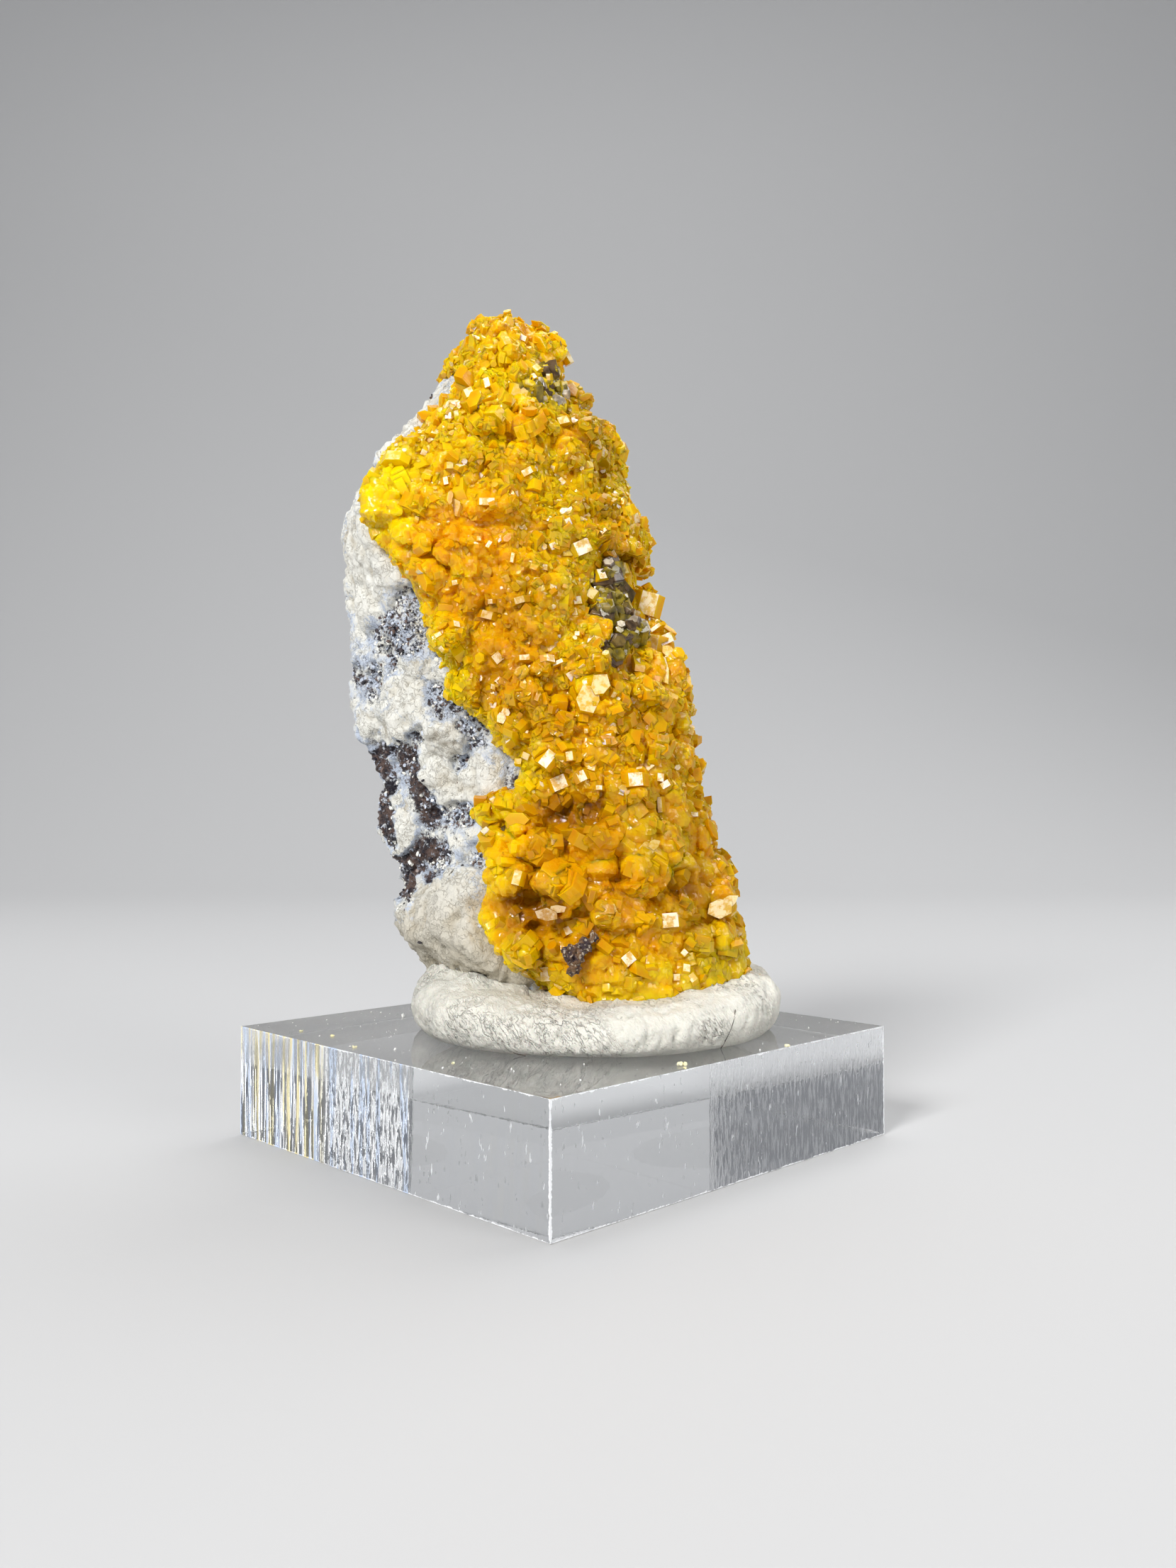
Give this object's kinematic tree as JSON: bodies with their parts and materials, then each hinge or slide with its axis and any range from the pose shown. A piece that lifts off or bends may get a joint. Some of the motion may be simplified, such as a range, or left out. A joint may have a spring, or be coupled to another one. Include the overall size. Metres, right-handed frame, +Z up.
{
  "type": "mimetite with duftite",
  "caption": "Upright mineral specimen: a crust of yellow to orange mimetite crystals with dark duftite on white matrix, set in a putty pad on a clear square acrylic block.",
  "frame": {"origin": "centre of the block's underside", "axes": "+Z up; X and Y along the block's sides; the crystal face looks towards the corner at +X -Y"},
  "size_m": [0.0382, 0.0382, 0.0678],
  "materials": {
    "clear_acrylic": "clear, polished top, saw-marked sides",
    "putty": "dull, thumbed",
    "matrix_rock": "chalky, rough, with brown and purple-black spots",
    "mimetite": "resinous to glassy, translucent crystals",
    "duftite": "glassy, dark olive",
    "iron_oxide": "dull to metallic, crumbly"
  },
  "bodies": {
    "root": {"acrylic_base": "clear_acrylic", "mounting_putty": "putty", "matrix": "matrix_rock", "mimetite_crust": "mimetite", "duftite_upper": "duftite", "duftite_lower": "duftite", "oxide_crumb": "iron_oxide"}
  },
  "joints": []
}
